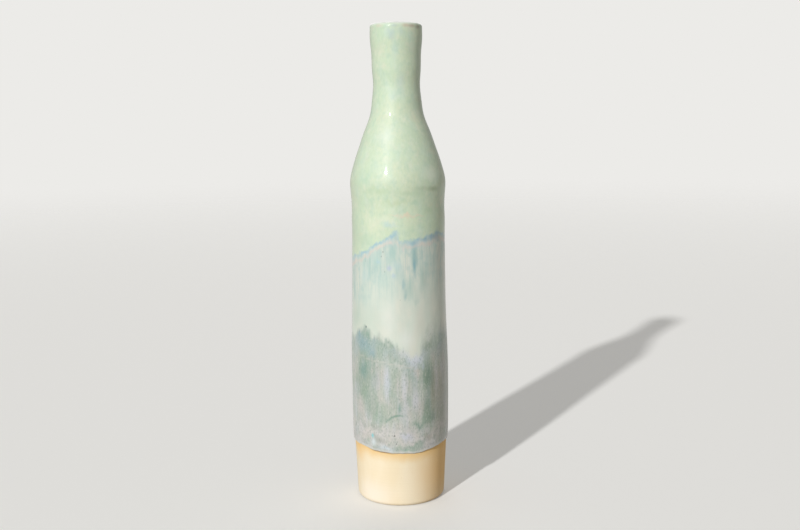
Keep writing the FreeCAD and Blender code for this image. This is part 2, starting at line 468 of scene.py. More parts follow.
@dataclass
class HandsTouch:
    """The slight unevenness that the hands leave in a thrown wall, the same for every layer of it."""

    depth: float = 0.55 * MM
    dents: tuple[Dent, ...] = (
        Dent(45, 194 * MM, 1.7 * MM, 17 * MM),
        Dent(-70, 190 * MM, 0.8 * MM, 22 * MM),
        Dent(150, 120 * MM, 1.2 * MM, 30 * MM),
        Dent(-135, 70 * MM, 0.8 * MM, 26 * MM),
    )
    sides: int = 5
    levels: int = 22
    half_width: float = 36.0 * MM
    height: float = 310.0 * MM
    seed: int = 7
    cage: bpy.types.Object = field(init=False)

    def build(self) -> None:
        """Put a cage round the vase and press its corners in a little, here and there."""
        bpy.ops.object.select_all(action="DESELECT")
        bpy.ops.object.add(type="LATTICE", location=(0, 0, self.height / 2))
        self.cage = bpy.context.object
        self.cage.name = "hands_touch"
        self.cage.scale = (2 * self.half_width, 2 * self.half_width, self.height)
        lattice = self.cage.data
        lattice.points_u = lattice.points_v = self.sides
        lattice.points_w = self.levels
        dice = random.Random(self.seed)
        bpy.context.view_layer.update()
        for point in lattice.points:
            place = self.cage.matrix_world @ point.co
            press = dice.uniform(0, self.depth) + sum(dent.press(place) for dent in self.dents)
            point.co_deform.x *= 1 - press / self.half_width
            point.co_deform.y *= 1 - press / self.half_width

    def shape(self, piece: bpy.types.Object) -> None:
        """Press a piece with the cage."""
        bake_modifier(piece, "LATTICE", object=self.cage)

    def remove(self) -> None:
        """Take the cage away."""
        bpy.data.objects.remove(self.cage)


class Socket(Enum):
    """The kinds of sockets that an effect has."""

    VALUE = "NodeSocketFloat"
    VECTOR = "NodeSocketVector"
    COLOUR = "NodeSocketColor"


class Wiring:
    """Places nodes on one tree and wires them by plain calls."""

    def __init__(self, tree: bpy.types.NodeTree) -> None:
        """Work on a tree."""
        self.tree = tree

    def feed(self, node: bpy.types.Node, inputs: dict) -> None:
        """Feed a node's sockets.

        Args:
            node: The node.
            inputs: What feeds each socket, by name or number: another socket or a plain value.
        """
        for name, value in inputs.items():
            if isinstance(value, Wire):
                self.tree.links.new(value, node.inputs[name])
            else:
                node.inputs[name].default_value = value

    def place(self, kind: str, inputs: dict | None = None, **settings: object) -> bpy.types.Node:
        """Add a node.

        Args:
            kind: Its type.
            inputs: What feeds its sockets, by name or number.
            settings: Its own settings.

        Returns:
            The node.
        """
        node = self.tree.nodes.new(kind)
        for name, value in settings.items():
            setattr(node, name, value)
        self.feed(node, inputs or {})
        return node

    def sum(self, operation: str, *values: object) -> Wire:
        """Work out numbers with one operation."""
        return self.place("ShaderNodeMath", dict(enumerate(values)), operation=operation).outputs[0]

    def move(self, operation: str, *values: object) -> Wire:
        """Work out vectors with one operation."""
        node = self.place("ShaderNodeVectorMath", dict(enumerate(values)), operation=operation)
        return node.outputs["Value" if operation == "LENGTH" else "Vector"]

    def fade(self, value: object, start: object, end: object, low: object = 0.0, high: object = 1.0) -> Wire:
        """Ease from low where a value is at start to high where it is at end.

        Args:
            value: What is read.
            start: Where the change begins.
            end: Where it is complete, above or below start.
            low: What comes out up to start.
            high: What comes out from end on.

        Returns:
            The eased number.
        """
        inputs = {"Value": value, "From Min": start, "From Max": end, "To Min": low, "To Max": high}
        return self.place("ShaderNodeMapRange", inputs, interpolation_type="SMOOTHSTEP").outputs["Result"]

    def blend(self, mask: object, under: object, over: object) -> Wire:
        """Lay one colour over another by a mask."""
        return self.place("ShaderNodeMix", {0: mask, 6: under, 7: over}, data_type="RGBA").outputs[2]

    def choose(self, mask: object, off: object, on: object) -> Wire:
        """Pass one number on where a mask is off, and another where it is on."""
        return self.place("ShaderNodeMix", {0: mask, 2: off, 3: on}, data_type="FLOAT").outputs[0]

    def attribute(self, name: str) -> Wire:
        """Read one of the piece's own attributes."""
        return self.place("ShaderNodeAttribute", attribute_name=name).outputs["Fac"]

    def position(self) -> Wire:
        """Read the place on the piece."""
        return self.place("ShaderNodeTexCoord").outputs["Object"]

    def height(self, place: Wire) -> Wire:
        """Read how high a place or a shift is."""
        return self.place("ShaderNodeSeparateXYZ", {0: place}).outputs[2]

    def effect(self, effect: "Effect", **values: object) -> Wires:
        """Place a shared effect.

        Args:
            effect: The effect.
            values: What feeds its inputs, by name.

        Returns:
            Its outputs by name.
        """
        node = self.place("ShaderNodeGroup", values, node_tree=effect.tree())
        return {socket.name: socket for socket in node.outputs}


@dataclass(frozen=True)
class Ground:
    """What marks are laid on: the wiring, the place on the piece, and the wall that it belongs to."""

    wiring: Wiring
    place: Wire
    wall: Wall = field(default_factory=Wall)

    def spotted(self, colour: Wire, spots: Iterable["Spot"]) -> Wire:
        """Lay spots over a colour, in order.

        Args:
            colour: The colour beneath.
            spots: The spots.

        Returns:
            The colour after them.
        """
        for spot in spots:
            colour = self.wiring.blend(spot.mask(self), colour, spot.colour)
        return colour


class Effect(ABC):
    """A shader effect: a node group with named inputs and outputs, built once for all that share its name."""

    name: str
    vectors: tuple[str, ...] = ("Position",)
    values: tuple[str, ...]
    outputs: dict[str, Socket] = {"Mask": Socket.VALUE}

    def tree(self) -> bpy.types.NodeTree:
        """Make the effect's node group at first use.

        Returns:
            The group.
        """
        if self.name in bpy.data.node_groups:
            return bpy.data.node_groups[self.name]
        tree = bpy.data.node_groups.new(self.name, "ShaderNodeTree")
        inputs = dict.fromkeys(self.vectors, Socket.VECTOR) | dict.fromkeys(self.values, Socket.VALUE)
        for side, sockets in (("INPUT", inputs), ("OUTPUT", self.outputs)):
            for name, kind in sockets.items():
                tree.interface.new_socket(name, in_out=side, socket_type=kind.value)
        wiring = Wiring(tree)
        start = wiring.place("NodeGroupInput")
        results = self.wire(wiring, {socket.name: socket for socket in start.outputs if socket.name})
        wiring.place("NodeGroupOutput", results)
        return tree

    @abstractmethod
    def wire(self, wiring: Wiring, given: Wires) -> Wires:
        """Wire the effect.

        Args:
            wiring: Where its nodes go.
            given: Its inputs by name.

        Returns:
            What feeds its outputs, by name.
        """


@dataclass(frozen=True)
class Clouds(Effect):
    """Cloudy grain in millimetres: its width and length, where its noise begins and is full, and its seed."""

    name = "clouds"
    values = ("Width", "Length", "Detail", "Seed", "Low", "High")

    width: float
    length: float
    low: float = 0.35
    high: float = 0.65
    detail: float = 3.0
    seed: float = 0.0

    def wire(self, wiring: Wiring, given: Wires) -> Wires:
        """Stretch a noise to the grain's size and steepen it between its low and high.

        Args:
            wiring: Where its nodes go.
            given: Its inputs by name.

        Returns:
            The mask.
        """
        width = given["Width"]
        size = wiring.place("ShaderNodeCombineXYZ", {0: width, 1: width, 2: given["Length"]})
        place = wiring.move("DIVIDE", given["Position"], size.outputs[0])
        inputs = {"Vector": place, "W": given["Seed"], "Scale": 1.0, "Detail": given["Detail"]}
        noise = wiring.place("ShaderNodeTexNoise", inputs, noise_dimensions="4D").outputs["Fac"]
        return {"Mask": wiring.fade(noise, given["Low"], given["High"])}

    def mask(self, ground: Ground) -> Wire:
        """Wire where it shows.

        Args:
            ground: What it is laid on.

        Returns:
            The mask.
        """
        size = {"Width": self.width * MM, "Length": self.length * MM, "Detail": self.detail}
        noise = {"Seed": self.seed, "Low": self.low, "High": self.high}
        return ground.wiring.effect(self, Position=ground.place, **size, **noise)["Mask"]


@dataclass(frozen=True)
class Band(Effect):
    """A soft band along a flow line, in millimetres: how far over it its middle lies, and its half width."""

    name = "band"
    vectors = ()
    values = ("Above", "Offset", "Width", "Strength")

    offset: float
    width: float

    def wire(self, wiring: Wiring, given: Wires) -> Wires:
        """Fade out on both sides of the band's middle."""
        away = wiring.sum("ABSOLUTE", wiring.sum("SUBTRACT", given["Above"], given["Offset"]))
        return {"Mask": wiring.fade(away, 0.0, given["Width"], given["Strength"], 0.0)}

    def mask(self, wiring: Wiring, above: Wire, strength: Wire) -> Wire:
        """Wire where it shows, by how far each place lies above the line."""
        size = {"Offset": self.offset * MM, "Width": self.width * MM}
        return wiring.effect(self, Above=above, Strength=strength, **size)["Mask"]


@dataclass(frozen=True)
class Pits(Effect):
    """Scattered pits, in millimetres: their spacing, their size and the share that is there."""

    name = "pits"
    values = ("Spacing", "Size", "Share")

    spacing: float
    size: float
    share: float

    def wire(self, wiring: Wiring, given: Wires) -> Wires:
        """Keep the middles of some cells of an even scatter.

        Args:
            wiring: Where its nodes go.
            given: Its inputs by name.

        Returns:
            The mask.
        """
        scale = wiring.sum("DIVIDE", 1.0, given["Spacing"])
        cells = wiring.place("ShaderNodeTexVoronoi", {"Vector": given["Position"], "Scale": scale})
        reach = wiring.sum("DIVIDE", given["Size"], given["Spacing"])
        dot = wiring.fade(cells.outputs["Distance"], 0.0, reach, 1.0, 0.0)
        lot = wiring.place("ShaderNodeSeparateColor", {"Color": cells.outputs["Color"]}).outputs[0]
        kept = wiring.sum("LESS_THAN", lot, given["Share"])
        return {"Mask": wiring.sum("MULTIPLY", dot, kept)}

    def mask(self, ground: Ground) -> Wire:
        """Wire where they show."""
        size = {"Spacing": self.spacing * MM, "Size": self.size * MM, "Share": self.share}
        return ground.wiring.effect(self, Position=ground.place, **size)["Mask"]


@dataclass(frozen=True)
class Spot(Effect):
    """A soft mark at one place: its angle from the front in degrees, and its size in millimetres."""

    name = "spot"
    vectors = ("Position", "Centre", "Size")
    values = ("Softness", "Strength")

    angle: float
    height: float
    width: float
    length: float
    colour: Colour
    strength: float
    softness: float = 1.0

    def wire(self, wiring: Wiring, given: Wires) -> Wires:
        """Fade out with the distance from the centre, counted in the spot's own size.

        Args:
            wiring: Where its nodes go.
            given: Its inputs by name.

        Returns:
            The mask.
        """
        away = wiring.move("SUBTRACT", given["Position"], given["Centre"])
        distance = wiring.move("LENGTH", wiring.move("DIVIDE", away, given["Size"]))
        full = wiring.sum("SUBTRACT", 1.0, given["Softness"])
        return {"Mask": wiring.fade(distance, full, 1.0, given["Strength"], 0.0)}

    def mask(self, ground: Ground) -> Wire:
        """Wire where it shows.

        Args:
            ground: What it is laid on.

        Returns:
            The mask.
        """
        turned, height = math.radians(self.angle), self.height * MM
        radius = ground.wall.glazed(height)
        fed = {
            "Position": ground.place,
            "Centre": (radius * math.sin(turned), -radius * math.cos(turned), height),
            "Size": (self.width * MM / 2, self.width * MM / 2, self.length * MM / 2),
            "Softness": self.softness,
            "Strength": self.strength,
        }
        return ground.wiring.effect(self, **fed)["Mask"]


def spots_from(*rows: tuple[float, ...]) -> tuple[Spot, ...]:
    """Make spots from rows of numbers.

    Args:
        rows: For each spot its angle, height, width and length, its red, green and blue from 0 to 255, its
            strength, and its softness where it isn't 1.

    Returns:
        The spots, in the rows' order.
    """
    return tuple(Spot(*row[:4], paint(*row[4:7]), *row[7:]) for row in rows)


CELADON_SPOTS_AND_SHEEN = spots_from(
    (-72, 172, 30, 44, 184, 204, 176, 0.55), (-66, 196, 24, 26, 190, 208, 180, 0.4),
    (-26, 163, 16, 8, 196, 216, 198, 0.5), (-48, 169, 22, 12, 184, 205, 178, 0.5),
    (-30, 178.5, 17, 15, 226, 228, 204, 0.42), (-3, 185.2, 12, 2.6, 226, 212, 190, 0.5),
    (9, 184.0, 15, 3.2, 230, 206, 184, 0.6), (24, 184.4, 14, 3.0, 224, 208, 188, 0.45),
    (-12, 179.6, 11, 5, 186, 212, 208, 0.7), (-5, 178.0, 9, 4, 196, 216, 208, 0.5),
    (-11, 293.0, 9, 12, 166, 188, 192, 0.5), (12, 293.6, 8, 8, 172, 194, 188, 0.35),
    # The first spot on this row, pale on the right shoulder, is a painted reflection.
    (45, 209.0, 20, 15, 226, 234, 218, 0.6), (20, 192, 9, 5, 170, 202, 178, 0.5),
    (6, 194, 8, 6, 176, 206, 184, 0.5), (-34, 193, 8, 6, 174, 204, 182, 0.45),
    (-44, 206, 14, 10, 176, 206, 184, 0.4), (-14, 182, 14, 6, 222, 228, 206, 0.4),
    (40, 186, 12, 10, 166, 192, 158, 0.4), (-3, 283, 8, 20, 186, 212, 204, 0.34),
    (9, 264, 9, 20, 180, 208, 204, 0.38), (-9, 257, 9, 13, 182, 210, 206, 0.34),
    (-20, 232, 16, 22, 222, 232, 220, 0.45), (-24, 199.5, 26, 7, 184, 206, 170, 0.5),
    (14, 198, 30, 6, 180, 204, 172, 0.5), (-2, 193, 26, 5, 190, 206, 168, 0.45),
    (-3.7, 173.6, 8, 4.4, 164, 196, 206, 0.8),
)
PALE_SPOTS = spots_from(
    (-62, 121, 18, 26, 180, 198, 182, 0.6), (19.6, 158, 7.0, 27, 134, 174, 174, 0.75),
    (19.2, 155, 3.6, 19, 122, 166, 178, 0.6), (21.0, 166, 6.0, 8, 150, 186, 190, 0.6),
    (5.6, 141.5, 3.4, 8.4, 136, 174, 182, 0.6), (7.8, 136.8, 3.6, 8.4, 140, 176, 178, 0.6),
    (13.0, 139.5, 12.0, 19, 162, 190, 180, 0.5), (2.0, 148.0, 9.0, 18, 166, 194, 188, 0.4),
    (20.0, 131.5, 6.0, 8, 160, 188, 180, 0.35), (31, 146, 8, 26, 166, 184, 172, 0.45),
    (-8, 162, 12, 20, 172, 200, 192, 0.5), (-26, 157, 14, 14, 178, 206, 200, 0.5),
    (-19, 146, 16, 16, 176, 204, 196, 0.45), (-44, 147, 11, 16, 184, 208, 206, 0.45),
    (-3, 154.5, 10, 11, 178, 204, 204, 0.5), (-6.2, 148.6, 5, 4, 168, 194, 212, 0.5),
    (-24.8, 155.6, 4, 5, 170, 200, 216, 0.45), (-12, 121, 15, 34, 226, 228, 220, 0.45),
    (-42, 119, 34, 30, 192, 206, 192, 0.45), (8, 108, 15, 20, 222, 226, 220, 0.55),
    (26, 120, 14, 30, 206, 206, 194, 0.5),
)
GREY_SPOTS = spots_from(
    (52, 70, 30, 84, 140, 132, 114, 0.5), (-44, 103, 30, 26, 130, 158, 148, 0.55),
    (-46, 82, 30, 62, 140, 156, 142, 0.6), (-18, 104, 14, 14, 150, 168, 154, 0.4),
    (-43, 115.4, 4.0, 3.4, 116, 146, 138, 0.8), (-40, 110.5, 14, 9, 134, 162, 146, 0.6),
    (-50, 105.5, 19, 14, 138, 166, 174, 0.62), (-38, 99, 20, 9, 146, 170, 160, 0.5),
    (-41, 102, 20, 12, 146, 174, 180, 0.5), (-33, 99.0, 8, 8, 138, 166, 180, 0.45),
    (-54, 110, 5, 9, 122, 156, 168, 0.55), (-30, 106, 11, 8, 150, 174, 172, 0.5),
    (-17, 106.8, 3.4, 6, 146, 166, 150, 0.7), (-8.9, 105.6, 3.6, 7, 150, 168, 154, 0.7),
    (-47, 88, 14, 17, 112, 148, 138, 0.75), (-37, 92, 12, 10, 128, 156, 144, 0.5),
    (-46, 73, 12, 24, 136, 160, 140, 0.6), (-36, 65, 14, 26, 134, 157, 142, 0.62),
    (-19, 65, 9, 12, 148, 168, 150, 0.45), (-12, 92, 13, 14, 176, 190, 180, 0.5),
    (8, 100, 20, 13, 206, 210, 212, 0.85), (18, 96.5, 18, 18, 204, 210, 222, 0.95),
    (30, 100, 9, 12, 184, 190, 190, 0.6), (28, 90.5, 4, 9, 198, 206, 226, 0.6),
    (2, 92, 16, 5, 204, 206, 204, 0.55), (-15, 81, 7.4, 28, 198, 204, 216, 0.66),
    (4.5, 80, 6.4, 28, 204, 207, 214, 0.75), (17.6, 70, 9, 26, 200, 200, 208, 0.75),
    (-28, 83, 9, 18, 172, 176, 176, 0.5), (34, 84, 13, 34, 98, 128, 108, 0.8),
    (6, 47, 14, 9, 198, 202, 216, 0.65), (-17, 38.4, 17, 5.2, 202, 214, 222, 0.7),
    (24, 42, 9, 6, 118, 148, 132, 0.55), (-2, 39.4, 8, 5, 130, 158, 140, 0.45),
    (-30, 52, 14, 7, 150, 156, 146, 0.5), (-24, 43, 14, 6, 148, 150, 138, 0.45),
    (34, 45, 10, 8, 150, 146, 134, 0.5), (10, 58, 10, 8, 206, 204, 204, 0.45),
    (-20, 58, 12, 8, 150, 168, 156, 0.45), (-32, 45.0, 24, 7, 158, 162, 150, 0.45),
    (21, 54, 10, 7, 116, 146, 130, 0.7), (40, 57, 9, 12, 104, 130, 112, 0.6),
    (15, 40.0, 20, 6, 136, 164, 148, 0.65), (33, 63, 10, 36, 104, 134, 114, 0.7),
    (41, 76, 6, 54, 118, 126, 104, 0.5), (34, 104, 13, 13, 134, 150, 128, 0.5),
    (9, 37.4, 19, 4, 140, 172, 152, 0.7), (-9, 36.8, 12, 3, 156, 178, 166, 0.4),
    (-53, 62, 13, 26, 202, 192, 190, 0.6), (-44, 47, 18, 13, 204, 197, 194, 0.55),
    (-12, 49, 28, 11, 204, 200, 196, 0.45),
)
CLEAR_MARKS_AND_DENT_SHADE = spots_from(
    # The first two marks, dark green under the right shoulder, are painted shade in the dent there.
    (47, 200.0, 15, 5.4, 128, 150, 110, 0.5), (30, 200.8, 20, 4.6, 164, 184, 150, 0.4),
    (54, 171.0, 10, 12, 112, 146, 162, 0.5), (18, 167.6, 8, 4.6, 136, 176, 194, 0.5),
    (34, 169.4, 9, 4.6, 130, 170, 186, 0.5), (45, 170.6, 9, 6, 122, 158, 178, 0.5),
    (-50, 96.4, 9, 2.0, 204, 202, 194, 0.32), (-40, 95.1, 9, 2.0, 204, 202, 194, 0.32),
    (-30, 94.4, 9, 2.0, 204, 200, 192, 0.32), (-20, 94.2, 9, 2.0, 204, 200, 192, 0.3),
    (-10, 93.2, 9, 1.7, 204, 200, 192, 0.38), (0, 92.2, 9, 1.7, 204, 200, 192, 0.36),
    (10, 90.8, 9, 1.9, 200, 194, 186, 0.36), (20, 88.6, 9, 2.2, 196, 190, 182, 0.36),
    (-4, 297.8, 7, 3.0, 178, 192, 194, 0.5), (22, 297.9, 8, 3.4, 208, 180, 164, 0.55),
    (37, 297.7, 8, 3.4, 184, 154, 140, 0.55), (55, 297.4, 8, 4.4, 150, 136, 122, 0.55),
    (-40, 298.0, 9, 3.4, 214, 198, 182, 0.5), (-11.3, 152.6, 5.0, 5.4, 178, 188, 216, 0.6),
    (-18.7, 162.6, 1.4, 1.8, 84, 104, 106, 0.8, 0.8), (-20.8, 159.8, 1.3, 1.7, 104, 122, 120, 0.7, 0.8),
    (-16.8, 150.4, 1.1, 1.4, 120, 134, 130, 0.7, 0.8), (-42.5, 115.2, 1.7, 2.2, 62, 84, 86, 0.85, 0.8),
    (-16.4, 56.4, 3.2, 2.6, 112, 148, 130, 0.45), (-14.2, 57.4, 3.4, 2.8, 104, 142, 124, 0.5),
    (-11.8, 58.4, 3.6, 2.8, 98, 138, 120, 0.55), (-9.4, 59.3, 3.8, 2.8, 92, 136, 118, 0.6),
    (-6.8, 60.0, 4.0, 2.7, 92, 136, 118, 0.6), (-4.0, 60.4, 4.2, 2.6, 96, 138, 120, 0.6),
    (-1.0, 60.5, 4.4, 2.4, 104, 142, 124, 0.5), (2.2, 60.2, 4.0, 2.2, 112, 148, 130, 0.4),
    (-0.9, 64.8, 3.0, 10, 108, 146, 130, 0.65), (-7, 47.3, 1.5, 1.7, 60, 64, 58, 0.9, 0.8),
    (-5.1, 42.1, 1.4, 1.3, 84, 88, 80, 0.8, 0.8), (-33.5, 42.2, 5.4, 9, 210, 220, 224, 0.75),
    (-34.6, 46.2, 2.8, 4.6, 120, 200, 208, 0.95),
)


@dataclass(frozen=True)
class Layer:
    """One glaze colour that clouds or streaks another: its colour, how much of it shows and its grain."""

    colour: Colour
    strength: float
    width: float
    length: float
    low: float = 0.38
    high: float = 0.66
    detail: float = 3.0

    def lay(self, ground: Ground, under: Wire | Colour, seed: float, within: Wire | None) -> Wire:
        """Lay the colour over another one.

        Args:
            ground: What it is laid on.
            under: The colour beneath.
            seed: Sets this layer's pattern apart from others.
            within: A mask that holds it back, if any.

        Returns:
            The colour after it.
        """
        clouds = Clouds(self.width, self.length, self.low, self.high, self.detail, seed)
        mask = ground.wiring.sum("MULTIPLY", clouds.mask(ground), self.strength)
        if within is not None:
            mask = ground.wiring.sum("MULTIPLY", mask, within)
        return ground.wiring.blend(mask, under, self.colour)


def layers_from(*rows: tuple[float, ...]) -> tuple[Layer, ...]:
    """Make layers from rows of numbers.

    Args:
        rows: For each layer its red, green and blue from 0 to 255, its strength, its width and length in
            millimetres, and where they aren't usual, its low, its high and its detail.

    Returns:
        The layers, in the rows' order.
    """
    return tuple(Layer(paint(*row[:3]), *row[3:]) for row in rows)


class RunningGlaze(Effect):
    """The colours of the outer glazes, which melt into each other along the flow lines."""

    name = "running_glaze"
    values = ("Above blue", "Above hill", "Above edge")
    outputs = {"Color": Socket.COLOUR, "Roughness": Socket.VALUE, "Height": Socket.VALUE}

    celadon = paint(203, 220, 192)
    celadon_layers = layers_from(
        (188, 211, 182, 0.40, 9, 14, 0.38, 0.66, 4.0), (196, 218, 208, 0.40, 5, 12, 0.45, 0.72, 5.0),
        (214, 220, 190, 0.45, 12, 18, 0.42, 0.70), (180, 206, 184, 0.46, 3.6, 4.4, 0.48, 0.70, 4.0),
        (224, 226, 206, 0.42, 5, 5.5, 0.50, 0.72, 4.0), (184, 207, 184, 0.34, 1.4, 2.6, 0.42, 0.70, 4.0),
        (216, 228, 210, 0.30, 1.4, 2.6, 0.46, 0.72, 4.0), (222, 214, 190, 0.20, 8, 6, 0.52, 0.74),
    )
    lip_white = paint(226, 230, 222)
    blue = paint(150, 190, 206)
    blue_haze = paint(186, 206, 212)
    peach = paint(226, 205, 192)
    pale = paint(208, 217, 205)
    pale_layers = layers_from(
        (216, 216, 203, 0.80, 11, 24), (196, 208, 196, 0.40, 6, 16, 0.42, 0.7, 4.0),
    )
    wet_layers = layers_from(
        (176, 202, 194, 0.75, 7, 20, 0.40, 0.66, 4.0), (158, 190, 184, 0.55, 3.2, 26, 0.44, 0.70, 4.0),
        (152, 185, 186, 0.40, 0.8, 12, 0.42, 0.68, 4.0), (214, 220, 212, 0.40, 2.0, 18, 0.48, 0.72),
        (164, 194, 190, 0.50, 3.0, 5, 0.46, 0.68, 5.0),
    )
    grey = paint(182, 188, 177)
    grey_layers = layers_from(
        (195, 190, 185, 0.75, 10, 16, 0.40, 0.64, 4.0), (142, 164, 148, 0.70, 8, 20, 0.44, 0.66, 4.0),
        (196, 200, 208, 0.60, 5, 18, 0.46, 0.68, 4.0), (136, 160, 144, 0.45, 2.4, 22, 0.46, 0.70, 4.0),
        (202, 202, 206, 0.40, 2.0, 16, 0.48, 0.70, 4.0), (150, 168, 154, 0.40, 0.9, 9, 0.44, 0.68, 4.0),
        (206, 206, 206, 0.30, 0.8, 8, 0.50, 0.72, 4.0),
    )
    foot_layers = layers_from(
        (203, 198, 194, 0.80, 10, 10, 0.32, 0.60, 4.0), (196, 198, 200, 0.55, 5, 7, 0.42, 0.66, 4.0),
        (146, 158, 146, 0.66, 3.4, 5, 0.47, 0.68, 6.0), (176, 176, 178, 0.45, 7, 4, 0.46, 0.68, 4.0),
    )
    crest_layers = layers_from(
        (150, 172, 160, 0.62, 7, 11, 0.30, 0.62, 5.0), (166, 184, 186, 0.50, 6, 9, 0.42, 0.66, 4.0),
        (196, 204, 196, 0.50, 2.6, 9, 0.50, 0.70, 4.0),
    )
    speckles = layers_from(
        (108, 130, 118, 0.46, 0.8, 1.5, 0.49, 0.71, 4.0), (226, 224, 218, 0.28, 0.9, 2.0, 0.52, 0.72, 4.0),
    )
    edge_light = paint(208, 208, 204)
    # Painted shadow where the rolled lower edge turns under
    painted_edge_shadow = paint(120, 130, 122)
    pinhole = paint(110, 120, 112)
    mist = Spot(42, 110, 46, 44, paint(0, 0, 0), 1.0)

    # Where each change begins and is complete, measured up from its flow line or from the lip
    lip_thins = (0.6 * MM, 2.0 * MM)
    wet_gathers = (-48 * MM, -8 * MM)
    foot_pales = (22 * MM, 11 * MM)
    crest_darkens = (-24 * MM, -4 * MM)
    edge_rolls = (2.6 * MM, 1.0 * MM)
    # The painted shadow under the rolled edge fades in over its lowest 0.7 mm
    edge_shadow_fade = (0.7 * MM, 0.0)
    celadon_covers = (-1.8 * MM, 1.6 * MM)
    celadon_rises = (-1.8 * MM, 0.8 * MM)
    pits_end = (2.0 * MM, -4.0 * MM)
    hill_melts = 2.8 * MM
    mist_melts = 8.0 * MM
    melts_down = -1.2

    # How much of each change shows where it is complete
    lip_share = 0.8
    dry_share = 0.04
    rolled_share = 0.5
    edge_shadow_share = 0.6
    pit_share = 0.7

    # The melt draws the marks out down the wall and wavers the flow lines
    drawn_down = (1.0, 1.0, 0.4)
    warp_scale = 300.0
    warp_detail = 3.0
    warp_reach = (2.0 * MM, 2.0 * MM, 9.0 * MM)
    blue_wavers = 0.85
    hill_wavers = 1.3

    # The lines between the celadon and the pale coat: their bands and what breaks them up
    haze_band = Band(-2.4, 5.5)
    haze_clouds = Clouds(4, 9, 0.34, 0.62, seed=102.0)
    haze_share = 0.5
    peach_band = Band(-3.9, 2.4)
    peach_clouds = Clouds(6, 20, 0.3, 0.62, seed=101.0)
    peach_shares = (0.45, 0.12)
    blue_band = Band(-0.5, 1.8)
    blue_dabs = Clouds(3.4, 5, 0.38, 0.6, seed=104.0)
    blue_shares = (0.66, 0.06)

    # The surface: pinholes and a slight swell
    pits = Pits(7, 0.45, 0.14)
    swell = Clouds(9, 9, 0.2, 0.8, seed=103.0)
    swell_roughness = (0.06, 0.46)
    pit_depth = 0.5
    celadon_height = 0.3

    def __init__(self, wall: Wall) -> None:
        """Take the wall that the spots lie on."""
        self.wall = wall
        self.seeds = itertools.count(1)

    def lay_all(
        self, ground: Ground, colour: Wire | Colour, layers: Iterable[Layer], within: Wire | None = None
    ) -> Wire:
        """Lay layers over a colour, in order.

        Args:
            ground: What they are laid on.
            colour: The colour beneath.
            layers: The layers.
            within: A mask that holds them back, if any.

        Returns:
            The colour after them.
        """
        for layer in layers:
            colour = layer.lay(ground, colour, float(next(self.seeds)), within)
        return colour

    def upper(self, ground: Ground, ragged: Ground) -> Wire:
        """Colour the celadon over the neck, the shoulder and the barrel's top, thin and white on the lip.

        Args:
            ground: What it is laid on.
            ragged: The same, drawn out by the melt.

        Returns:
            The colour.
        """
        colour = self.lay_all(ground, self.celadon, self.celadon_layers)
        colour = ragged.spotted(colour, CELADON_SPOTS_AND_SHEEN)
        start, end = (self.wall.lip.height + rise for rise in self.lip_thins)
        thin = ground.wiring.fade(ground.wiring.height(ground.place), start, end, 0.0, self.lip_share)
        return ground.wiring.blend(thin, colour, self.lip_white)

    def middle(self, ground: Ground, ragged: Ground, above_blue: Wire) -> Wire:
        """Colour the pale coat, streaked under the blue line and plain further down.

        Args:
            ground: What it is laid on.
            ragged: The same, drawn out by the melt.
            above_blue: How far it lies above the blue line.

        Returns:
            The colour.
        """
        colour = self.lay_all(ground, self.pale, self.pale_layers)
        wet = ground.wiring.fade(above_blue, *self.wet_gathers, self.dry_share, 1.0)
        colour = self.lay_all(ground, colour, self.wet_layers, wet)
        return ragged.spotted(colour, PALE_SPOTS)

    def lower(self, ground: Ground, ragged: Ground, above_hill: Wire, above_edge: Wire) -> Wire:
        """Colour the mottled grey coat, with lavender and teal runs under a darker crest, and a painted
        shadow where its rolled edge turns under.

        Args:
            ground: What it is laid on.
            ragged: The same, drawn out by the melt.
            above_hill: How far it lies above the hill line.
            above_edge: How far it lies above the glaze's lower edge.

        Returns:
            The colour.
        """
        wiring = ground.wiring
        colour = self.lay_all(ground, self.grey, self.grey_layers)
        colour = self.lay_all(ground, colour, self.foot_layers, wiring.fade(above_edge, *self.foot_pales))
        crest = wiring.fade(above_hill, *self.crest_darkens)
        colour = self.lay_all(ground, colour, self.crest_layers, crest)
        colour = ragged.spotted(colour, GREY_SPOTS)
        colour = self.lay_all(ground, colour, self.speckles)
        rolled = wiring.fade(above_edge, *self.edge_rolls, 0.0, self.rolled_share)
        colour = wiring.blend(rolled, colour, self.edge_light)
        # Painted shadow on the underside of the rolled edge
        under = wiring.fade(above_edge, *self.edge_shadow_fade, 0.0, self.edge_shadow_share)
        return wiring.blend(under, colour, self.painted_edge_shadow)

    def broken_line(self, ground: Ground, above_blue: Wire, colour: Wire) -> Wire:
        """Lay the haze and the broken peach line that lie under the blue one.

        Args:
            ground: What they are laid on.
            above_blue: How far it lies above the blue line.
            colour: The colour beneath.

        Returns:
            The colour after them.
        """
        wiring = ground.wiring
        haze = wiring.sum("MULTIPLY", self.haze_clouds.mask(ground), self.haze_share)
        colour = wiring.blend(self.haze_band.mask(wiring, above_blue, haze), colour, self.blue_haze)
        peach = wiring.sum("MULTIPLY_ADD", self.peach_clouds.mask(ground), *self.peach_shares)
        return wiring.blend(self.peach_band.mask(wiring, above_blue, peach), colour, self.peach)

